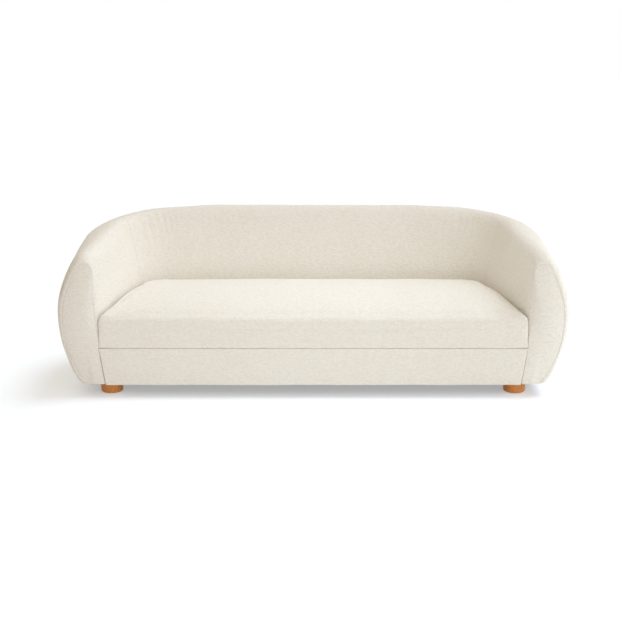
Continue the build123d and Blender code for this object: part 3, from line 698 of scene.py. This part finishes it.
def cornerGathers(grid):
    # upright gathers under the ridge at both rear corners
    look = coverLook
    turn = np.arctan2(grid[..., 1] - cornerY, np.abs(grid[..., 0]) - cornerX + look["gatherAxis"])
    run = turn * wall["cornerPath"]
    middle = math.radians(look["gatherTurn"]) * wall["cornerPath"]
    near = hump(run, middle, look["gatherWidth"])
    ridge = grid[..., 2].max(axis=1, keepdims=True)
    below = hump(ridge - look["gatherTop"], grid[..., 2], look["gatherFall"])
    wave = np.sin(2 * math.pi * run / look["gatherSize"] + 2.0 * np.sin(run * 23 + np.sign(grid[..., 0])))
    return look["gatherDepth"] * near * below * wave


halfGrid, tuckRows, armRows = halfWall()
wallGrid = np.concatenate([halfGrid, halfGrid[-2::-1] * np.array((-1, 1, 1))])
shoulderRow = smoothInside.shape[1] - 1
lastRow = len(wallGrid) - 1
wallNormals = gridNormals(wallGrid)
if np.mean(np.sum(wallNormals * (wallGrid - wallMiddle(wallGrid)), axis=2)) < 0:
    wallNormals = -wallNormals
across = along(wallGrid, 1)
lengthwise = along(wallGrid, 0)
fromShoulder = np.abs(across - across[:, [shoulderRow]])
armSeams = (armRows, lastRow - armRows)
fromArmSeam = np.minimum(*(np.abs(lengthwise - lengthwise[[row]]) for row in armSeams))
fromFront = np.minimum(lengthwise - lengthwise[[tuckRows]], lengthwise[[lastRow - tuckRows]] - lengthwise)
free = smooth(0.0, coverLook["frontCalm"], fromFront)
push = unevenness(wallGrid, coverLook["hillSize"], coverLook["hillDepth"], 1.0)
push += dip(fromShoulder, coverLook["shoulderDip"])
push += puckers(fromShoulder, lengthwise, 1.0)
push += dip(fromArmSeam, coverLook["armSeamDip"])
push += coverLook["armPuckers"] * puckers(fromArmSeam, across, 2.0)
push += cornerGathers(wallGrid) * (np.arange(wallGrid.shape[1]) < shoulderRow)
wallDressed = wallGrid + wallNormals * (push * free)[..., None]
insideColumns = slice(0, shoulderRow + 1)
outsideColumns = slice(shoulderRow, None)
wallPieces = {}
for label, rows in (
    ("right", slice(0, armRows + 1)),
    ("back", slice(armRows, lastRow - armRows + 1)),
    ("left", slice(lastRow - armRows, None)),
):
    for face, columns in (("inside", insideColumns), ("outside", outsideColumns)):
        name = face + "BackCover" if label == "back" else label + face.capitalize() + "ArmCover"
        wallPieces[label, face] = meshFromGrid(name, wallDressed[rows, columns], wallGrid[rows, columns])
print("covers of arms and back built")


def armPanel(name, side):
    # rings from the seam to the panel's heart, swelling forwards like a small pad
    look = armLook
    seamY = frontY + look["seamSetBack"]
    foot, heel = lobePoints[-1], lobePoints[0]
    line = np.concatenate([lobeLine[::3], np.linspace(foot, heel, 14)[1:-1]])
    turnStart, turnEnd, innerEdge = (heartPoint[0] - inside for inside in look["heartSides"])
    rim = seamY - rimForward(line[:, 1], smooth(turnStart, turnEnd, line[:, 0]))
    outline = np.stack([line[:, 0] + cornerX, rim, line[:, 1]], axis=1)
    deep = (line[:, 1] < footLine + 0.001) | ((line[:, 0] < innerEdge) & (line[:, 1] < deckTop))
    heart = np.array((heartPoint[0] + cornerX, seamY, heartPoint[1]))
    front = seamY - look["crown"]
    deepest = max(look["tucks"])
    rings = []
    for tuck in look["tucks"]:
        ring = outline.copy()
        ring[:, 1] += tuck + np.where(deep, look["deepTuck"], 0.0) * (tuck == deepest)
        rings.append(ring)
    for scale in look["rings"]:
        ring = heart + (outline - heart) * scale
        back = look["firstRingBack"] * (scale == look["rings"][0])
        ring[:, 1] = rim + (front - rim) * (1 - scale ** look["ringPower"]) + back
        rings.append(ring)
    count = len(outline)
    points = np.concatenate(rings + [[heart - np.array((0, look["crown"], 0))]])
    last = (len(rings) - 1) * count
    faces = ringFaces(len(rings), count)
    faces += [(last + i, last + (i + 1) % count, len(points) - 1) for i in range(count)]
    hills = unevenness(points * np.array((side, 1, 1)), look["hillSize"], look["hillDepth"], 5.0)
    firmRings = len(look["tucks"]) + 2  # no hills at the seam
    points[:, 1] += hills * (np.arange(len(points)) >= firmRings * count)
    points[:, 0] *= side
    mesh = newMesh(name, points, faces)
    return subdivide(sewCloth(name, mesh, mesh.polygons[len(faces) // 2].normal.y > 0))


armPanels = {side: armPanel(side + "ArmFrontPanel", way) for side, way in (("right", 1), ("left", -1))}
print("arm front panels built")


# Front border: a padded strip between the arms, turned over the deck and under the base.
borderLook = {
    "deckLip": 0.090,  # strip of boucle that shows on the deck when the cushion is out
    "edgeRound": 0.0016,
    "crown": 0.003,
    "under": 0.035,
    "endTurn": 0.024,  # cloth turned back beside the arm panels
    "setBack": 0.002,
    "endGap": 0.001,
    "lengthSteps": 150,
    "hillSize": 0.13,
    "hillDepth": 0.0016,
    "endCalm": 0.05,  # the ends are smooth up to here
    "endDip": 0.002,
    "endPuckers": 0.6,
    "topFlat": 0.002,  # the strip under the cushion stays level from this far below the deck
}


def borderGrid():
    look = borderLook
    low, high = footLine, deckTop
    edge = look["edgeRound"]
    face = frontY + look["setBack"]
    profile = [(face + look["under"], low), (face + look["under"] * 0.5, low)]
    for turn in np.linspace(0, math.pi / 2, 5):
        profile.append((face + edge - edge * math.sin(turn), low + edge - edge * math.cos(turn)))
    for height in np.linspace(low + edge, high - edge, 14)[1:-1]:
        share = (height - low) / (high - low)
        profile.append((face - look["crown"] * math.sin(math.pi * share), height))
    for turn in np.linspace(0, math.pi / 2, 5):
        profile.append((face + edge - edge * math.cos(turn), high - edge + edge * math.sin(turn)))
    for depth in np.linspace(edge, look["deckLip"], 7)[1:]:
        profile.append((face + depth, high))
    profile = np.array(profile)
    heights = np.clip((high - profile[:, 1]) / (high - low), 0, 1)
    inwards = np.clip((profile[:, 0] - face) / cornerDepth, 0, 1) * (frontSeat - cornerSeat)
    halfLength = cornerX + frontSeat - look["endGap"] - armLook["heelTaper"] * heights - inwards
    shares = spread(2.0, look["lengthSteps"]) - 1
    grid = [np.stack([share * halfLength, profile[:, 0], profile[:, 1]], axis=1) for share in shares]
    turned = np.zeros_like(grid[0])
    turned[:, 1] = np.maximum(face + look["endTurn"] - profile[:, 0], 0)
    return np.array([grid[0] + turned] + grid + [grid[-1] + turned])


border = borderGrid()
borderNormals = gridNormals(border)
if borderNormals[borderLook["lengthSteps"] // 2, 12, 1] > 0:
    borderNormals = -borderNormals
borderRun = along(border, 0)
borderEnds = np.maximum(np.minimum(borderRun - borderRun[[1]], borderRun[[-2]] - borderRun), 0)
borderPush = unevenness(border, borderLook["hillSize"], borderLook["hillDepth"], 6.0)
borderPush *= smooth(0.0, borderLook["endCalm"], borderEnds)
borderPush += dip(borderEnds, borderLook["endDip"])
borderPush += borderLook["endPuckers"] * puckers(borderEnds, border[..., 2], 6.0)
borderPush[:, border[0, :, 2] > deckTop - borderLook["topFlat"]] = 0.0
border = border + borderNormals * borderPush[..., None]
frontBorder = meshFromGrid("frontBorderCover", border, border)
print("front border built")


ringShares = (1.0, 0.97, 0.9, 0.75, 0.5, 0.25, 0.05)


def mirrored(line):
    # a closed line from its right half
    return np.concatenate([line, line[-2:0:-1] * np.array((-1, 1))])


def seatPlan(look):
    # the seat from above, drawn in from the wall
    sideSlope = (frontSeat - cornerSeat) / cornerDepth
    startY, backY = frontY + look["front"], cornerY + backSeat - look["rear"]
    frontX = cornerX + frontSeat - look["side"] - sideSlope * look["front"]
    rearX = frontX - sideSlope * (backY - frontY - look["front"])
    front, rear = np.array((frontX, startY)), np.array((rearX, backY))
    way = (front - rear) / np.linalg.norm(front - rear)
    start, stop = rear + way * look["corner"], rear - np.array((look["corner"], 0))
    shares = np.linspace(0, 1, 12)[1:]
    bend = [start * (1 - t) ** 2 + rear * 2 * t * (1 - t) + stop * t * t for t in shares]
    return mirrored(np.concatenate([
        np.linspace(np.array((0, startY)), front, 26, endpoint=False),
        np.linspace(front, start, 14, endpoint=False),
        np.array([start] + bend),
        np.linspace(stop, np.array((0, backY)), 26)[1:],
    ]))


def flatSheet(name, outline, top, material, look):
    # a sheet closed by rings towards its middle, where it may sag
    middle = np.array((0, (outline[:, 1].min() + outline[:, 1].max()) / 2))
    count = len(outline)
    rings = []
    for share in ringShares:
        height = top - look["sag"] * float(smooth(0.90, 0.0, share))
        rings.append(np.column_stack([middle + (outline - middle) * share, np.full(count, height)]))
    last = (len(rings) - 1) * count
    faces = ringFaces(len(rings), count) + [tuple(range(last, last + count))]
    mesh = newMesh(name, np.concatenate(rings), faces)
    return sewCloth(name, mesh, mesh.polygons[0].normal.z < 0, material, look["thickness"])


# Cotton over the deck, sewn to the strip of boucle behind the border.
deckLook = {
    "front": borderLook["deckLip"] - 0.004,  # the two overlap in the seam
    "side": 0.002, "rear": 0.002, "corner": 0.16, "thickness": 0.0012, "sag": 0.0,
    "below": 0.0004,  # the CAD deck's top
}
deckOutline = seatPlan(deckLook)
deckSheet = flatSheet("deckCloth", deckOutline, deckTop - deckLook["below"], "deck_cloth", deckLook)
print("deck cloth built")


# Loose bench cushion: the CAD filling swollen by cloth pressure, held flat on the deck.
cushionLook = {
    "voxel": 0.0065,
    "quickVoxel": 0.012,
    "rounds": 8,  # smoothing passes that soften the cut edges of the foam
    "roundFactor": 0.5,
    "roundFrom": 0.016,  # above the cushion's underside
    "pressure": 4.0,
    "stiffness": 25,
    "bending": 2,
    "heldUpTo": 0.012,
    "frames": 20,
    "topRise": 0.008,  # the furthest that a point may move
    "sideRise": 0.002,
    "frontRise": 0.0015,
    "hillSize": 0.22,
    "hillDepth": 0.0028,
    "hillHeights": (0.05, 0.14),  # above the underside; the hills fade in between these
    "seamDepth": 0.003,
    "seamWidth": 0.006,
    "topSeam": (0.116, 0.040, 0.62),  # front height, rise, share of a half wave
    "coverDepth": 0.0023,  # from the filling out to the cover's face
    "cornerFill": 0.006,  # fibre pushed into the front corners
    "cornerSize": 0.022,
    "cornerLift": 0.014,
    "liftSize": 0.05,  # in from the cushion's ends
    "liftRun": (-0.20, -0.42),  # towards the front
    "liftHeights": (0.30, 0.36),
    "bottomSeamDepth": 0.0008,
    "bottomSeam": 0.013,
    "frontHollow": 0.0035,  # the boxing is drawn in between its seams at the front
    "hollowAt": (0.068, 0.042),  # height of its middle, and half its height
    "frontEnds": 0.08,  # the front's own shape fades out this far from the ends
    "lipHeights": (0.012, 0.004),
    "lipFlat": 0.6,  # share by which the front's bottom edge is flattened on the border
    "bottomWelt": 0.0022,  # it stands out where it is sewn to the base
    "weltAt": (0.004, 0.008),
    "clearance": 0.0016,  # the underside stays this far above the base panel
}
cushionLow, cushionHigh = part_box("seat_cushion_cover")


def cushionBase():
    # core and topper as one closed body, without the face between them
    build = bmesh.new()
    for name in ("seat_cushion_core", "seat_cushion_topper"):
        build.from_mesh(frame["nodes"][name].data)
    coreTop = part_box("seat_cushion_core")[1].z
    build.faces.ensure_lookup_table()
    level = [face for face in build.faces if abs(face.normal.z) > 0.9]
    between = [face for face in level if abs(face.calc_center_median().z - coreTop) < 1e-4]
    bmesh.ops.delete(build, geom=between, context="FACES")
    bmesh.ops.remove_doubles(build, verts=build.verts, dist=0.0004)
    mesh = bpy.data.meshes.new("seatCushion")
    build.to_mesh(mesh)
    build.free()
    return finishMesh("seatCushion", mesh)


def evaluated(piece):
    # what the piece's modifiers make of its mesh
    graph = bpy.context.evaluated_depsgraph_get()
    return bpy.data.meshes.new_from_object(piece.evaluated_get(graph))


def applied(piece):
    made = evaluated(piece)
    piece.modifiers.clear()
    piece.data = made


def readPoints(mesh, kind="co"):
    flat = np.zeros(len(mesh.vertices) * 3)
    mesh.vertices.foreach_get(kind, flat)
    return flat.reshape(-1, 3)


def movePoints(mesh, points):
    mesh.vertices.foreach_set("co", points.ravel())
    mesh.update()


def swell(piece):
    # cloth under pressure, pinned where the cushion rests
    look = cushionLook
    start = readPoints(piece.data)
    held = piece.vertex_groups.new(name="resting")
    held.add([i for i, p in enumerate(start) if p[2] < cushionLow.z + look["heldUpTo"]], 1.0, "REPLACE")
    cloth = piece.modifiers.new("pressure", "CLOTH")
    settings = cloth.settings
    settings.use_pressure = True
    settings.uniform_pressure_force = look["pressure"]
    settings.effector_weights.gravity = 0
    settings.vertex_group_mass = held.name
    settings.quality = 3
    settings.tension_stiffness = settings.compression_stiffness = look["stiffness"]
    settings.bending_stiffness = look["bending"]
    cloth.collision_settings.use_collision = False
    cloth.point_cache.frame_end = look["frames"]
    for step in range(1, look["frames"] + 1):
        scene.frame_set(step)
    ended = readPoints(evaluated(piece))
    piece.modifiers.clear()
    scene.frame_set(1)
    move = np.nan_to_num(ended - start)
    caps = np.tile((look["sideRise"], look["sideRise"], look["topRise"]), (len(move), 1))
    caps[move[:, 1] < 0, 1] = look["frontRise"]
    movePoints(piece.data, start + caps * np.tanh(move / caps))


def sewn(piece):
    # hills on the top, and the seams of the boxing
    look = cushionLook
    mesh = piece.data
    points, normals = readPoints(mesh), readPoints(mesh, "normal")
    points = points + normals * np.array((1, 1, 0)) * look["coverDepth"]
    fromEnd = (np.abs(points[:, 0]) - cushionHigh.x) / look["cornerSize"]
    fromFace = (points[:, 1] - cushionLow.y) / look["cornerSize"]
    corner = np.exp(-fromEnd ** 2 - fromFace ** 2)
    points[:, 0] += np.sign(points[:, 0]) * corner * look["cornerFill"]
    points[:, 1] -= corner * look["cornerFill"] * 0.4
    ends = hump(np.abs(points[:, 0]), cushionHigh.x, look["liftSize"])
    ends = ends * smooth(*look["liftRun"], points[:, 1])
    points[:, 2] += look["cornerLift"] * ends * smooth(*look["liftHeights"], points[:, 2])
    ahead = smooth(0.3, 0.8, -normals[:, 1])
    ahead = ahead * smooth(0.0, look["frontEnds"], cushionHigh.x - np.abs(points[:, 0]))
    lip = points[:, 2] - cushionLow.z
    points[:, 1] += look["frontHollow"] * ahead * hump(lip, *look["hollowAt"])
    points[:, 2] -= look["lipFlat"] * lip * ahead * smooth(*look["lipHeights"], lip)
    points[:, 1] -= look["bottomWelt"] * ahead * hump(points[:, 2] - cushionLow.z, *look["weltAt"])
    hillsFrom, hillsFull = (cushionLow.z + height for height in look["hillHeights"])
    upper = smooth(hillsFrom, hillsFull, points[:, 2])
    push = unevenness(points, look["hillSize"], look["hillDepth"], 8.0) * upper
    push = push * np.clip(normals[:, 2], 0, 1)
    level = 1 - np.abs(normals[:, 2])
    low = cushionLow.z + look["bottomSeam"]
    push -= look["bottomSeamDepth"] * hump(points[:, 2], low, look["seamWidth"]) * smooth(0.3, 0.7, level)
    behind = smooth(-0.3, 0.2, normals[:, 1])
    shareBack = np.clip((points[:, 1] - cushionLow.y) / (cushionHigh.y - cushionLow.y), 0, 1)
    seamHeight, seamRise, seamWave = look["topSeam"]
    topSeam = cushionLow.z + seamHeight + seamRise * np.sin(math.pi * seamWave * shareBack)
    sides = hump(points[:, 2], topSeam, look["seamWidth"])
    push -= look["seamDepth"] * sides * smooth(0.5, 0.8, level) * behind
    points = points + normals * push[:, None]
    points[:, 2] = np.maximum(points[:, 2], cushionLow.z + look["clearance"])
    movePoints(mesh, points)


cushion = cushionBase()
remesh = cushion.modifiers.new("even mesh", "REMESH")
remesh.mode = "VOXEL"
remesh.voxel_size = cushionLook["voxel"]
applied(cushion)
roundFrom = cushionLow.z + cushionLook["roundFrom"]
above = cushion.vertex_groups.new(name="above the resting edge")
above.add([i for i, p in enumerate(readPoints(cushion.data)) if p[2] > roundFrom], 1.0, "REPLACE")
soften = cushion.modifiers.new("soft edges", "SMOOTH")
soften.factor = cushionLook["roundFactor"]
soften.iterations = cushionLook["rounds"]
soften.vertex_group = above.name
applied(cushion)
swell(cushion)
sewn(cushion)
cushion.data.polygons.foreach_set("use_smooth", [True] * len(cushion.data.polygons))
subdivide(cushion)
print("seat cushion built:", len(cushion.data.vertices), "points")


# Cotton panel under the cushion, sewn to its boxing.
baseLook = {
    "front": 0.018, "side": 0.020, "rear": 0.030, "corner": 0.15, "thickness": 0.0011, "sag": 0.0,
    "above": 0.0014,  # the CAD cushion's underside
}
baseOutline = seatPlan(baseLook)
baseTop = cushionLow.z + baseLook["above"]
basePanel = flatSheet("cushionBasePanel", baseOutline, baseTop, "deck_cloth", baseLook)
print("cushion base panel built")


# Thin black cloth stapled under the base; it hangs a little between the rails.
dustLow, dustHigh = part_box("dust_cover")
dustLook = {"corner": 0.34, "thickness": 0.0008, "sag": 0.003}


def dustPlan():
    corner = dustLook["corner"]
    right = [np.array((0, dustLow.y)), np.array((dustHigh.x, dustLow.y))]
    centre = np.array((dustHigh.x - corner, dustHigh.y - corner))
    for turn in np.linspace(0, math.pi / 2, 14):
        right.append(centre + corner * np.array((math.cos(turn), math.sin(turn))))
    right.append(np.array((0, dustHigh.y)))
    return mirrored(np.array(right))


dustOutline = dustPlan()
dustSheet = flatSheet("dustCloth", dustOutline, dustHigh.z, "dust_cloth", dustLook)
print("dust cloth built")


# What each piece rides on, stands for and takes its finish from.
covers = [
    (wallPieces["back", "inside"], "sofa", ("inside_back_cover", "back_foam"), 0.9),
    (wallPieces["back", "outside"], "sofa", ("outside_back_cover", "back_wadding"), 0.9),
    (frontBorder, "sofa", ("front_border_cover", "front_border_pad"), 0.9),
    (cushion, "seat_cushion", ("seat_cushion_cover", "seat_cushion_core", "seat_cushion_topper"), 0.8),
]
for side, panel in armPanels.items():
    inside, outside = wallPieces[side, "inside"], wallPieces[side, "outside"]
    covers += [
        (inside, "sofa", (side + "_inside_arm_cover", side + "_arm_foam"), 0.9),
        (outside, "sofa", (side + "_outside_arm_cover", side + "_arm_wadding"), 0.9),
        (panel, "sofa", (side + "_arm_front_panel", side + "_arm_front_pad"), 0.9),
    ]
for piece, body, nodes, fill in covers:
    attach(piece, body)
    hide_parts(*nodes)
for piece, body, node, slotName, outline, carrier in (
    (deckSheet, "sofa", "deck_cloth", "deck_cloth", deckOutline, "deck_pad"),
    (basePanel, "seat_cushion", "seat_cushion_base_panel", "deck_cloth", baseOutline, "seatCushion"),
    (dustSheet, "sofa", "dust_cover", "dust_cloth", dustOutline, "base_front_rail"),
):
    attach(piece, body)
    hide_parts(node)


# Pale floor that keeps the shadow and reads as white paper where nothing shades it.
stageLook = {
    "floorSize": 60.0,
    "floor": "#F2F2F2",
    "floorSeen": "#EAF0F8",  # cool paper, which evens out the warm light of the room
    "lift": 0.35,  # light added for the eye alone, so that the open floor is white
    "sky": "#FFF0DA",  # a warm room round a daylight studio lamp
    "skyStrength": 0.485,
    "daylight": "#E8F2FF",
    "suns": {  # strength, degrees across for soft shadow edges, way that the light goes
        "key": (0.90, 30.0, (-0.42, -0.18, -0.89)),
        "rear": (0.475, 30.0, (-0.42, -0.53, -0.74)),
        "front": (0.80, 60.0, (-0.64, 0.72, -0.20)),
    },
    "cards": {  # watts, size, spread in degrees, place, point that it faces
        "side": (4.4, (0.7, 0.5), 180.0, (2.2, -0.65, 0.35), (1.05, -0.42, 0.3)),
        "low": (6.6, (1.8, 0.4), 180.0, (0.1, -2.3, 0.25), (0.1, -0.45, 0.2)),
        "seat": (1.9, (1.8, 0.4), 60.0, (0.15, -0.25, 2.3), (0.15, -0.25, 0.0)),
    },
}


def seenRays(tree):
    # 1 for what the eye sees of the stage, 0 for the light that it gives
    path = addNode(tree, "ShaderNodeLightPath").outputs
    seen = path["Is Camera Ray"]
    for kind in ("Is Glossy Ray", "Is Transmission Ray"):
        seen = addNode(tree, "ShaderNodeMath", {0: seen, 1: path[kind]}, operation="MAXIMUM").outputs[0]
    return seen


def makeFloor():
    material = bpy.data.materials.new("white studio paper")
    material.use_nodes = True
    tree = material.node_tree
    seen = seenRays(tree)
    lift = addNode(tree, "ShaderNodeMath", {0: seen, 1: stageLook["lift"]}, operation="MULTIPLY")
    setInputs(tree, tree.nodes["Principled BSDF"], {
        "Base Color": blend(tree, seen, stageLook["floor"], stageLook["floorSeen"]),
        "Roughness": 1.0, "Specular IOR Level": 0.0,
        "Emission Color": (1, 1, 1, 1), "Emission Strength": lift.outputs[0],
    })
    return material


floorCorners = np.array([(-1, -1, 0), (1, -1, 0), (1, 1, 0), (-1, 1, 0)]) * stageLook["floorSize"] / 2
floorMesh = newMesh("studioFloor", floorCorners, [(0, 1, 2, 3)])
floorMesh.materials.append(makeFloor())
floor = bpy.data.objects.new("studioFloor", floorMesh)
scene.collection.objects.link(floor)

world = bpy.data.worlds.new("studioSky")
world.use_nodes = True
scene.world = world
skyTree = world.node_tree
skySeen = seenRays(skyTree)
setInputs(skyTree, skyTree.nodes["Background"], {
    "Color": blend(skyTree, skySeen, stageLook["sky"], "#FFFFFF"),
    "Strength": mapped(skyTree, skySeen, target=(stageLook["skyStrength"], 1.0)),
})


def addLamp(name, kind, strength, way, place=(0, 0, 0)):
    lamp = bpy.data.lights.new(name + "Light", kind)
    lamp.energy = strength
    lamp.color = linearColor(stageLook["daylight"])[:3]
    holder = bpy.data.objects.new(name + "Light", lamp)
    holder.location = place
    holder.rotation_euler = Vector(way).to_track_quat("-Z", "Y").to_euler()
    holder.visible_camera = False
    scene.collection.objects.link(holder)
    return lamp


for name, (strength, angle, way) in stageLook["suns"].items():
    addLamp(name, "SUN", strength, way).angle = math.radians(angle)
for name, (watts, size, cone, place, aim) in stageLook["cards"].items():
    lamp = addLamp(name, "AREA", watts, Vector(aim) - Vector(place), place)
    lamp.shape = "RECTANGLE"
    lamp.size, lamp.size_y = size
    lamp.spread = math.radians(cone)
print("studio set")
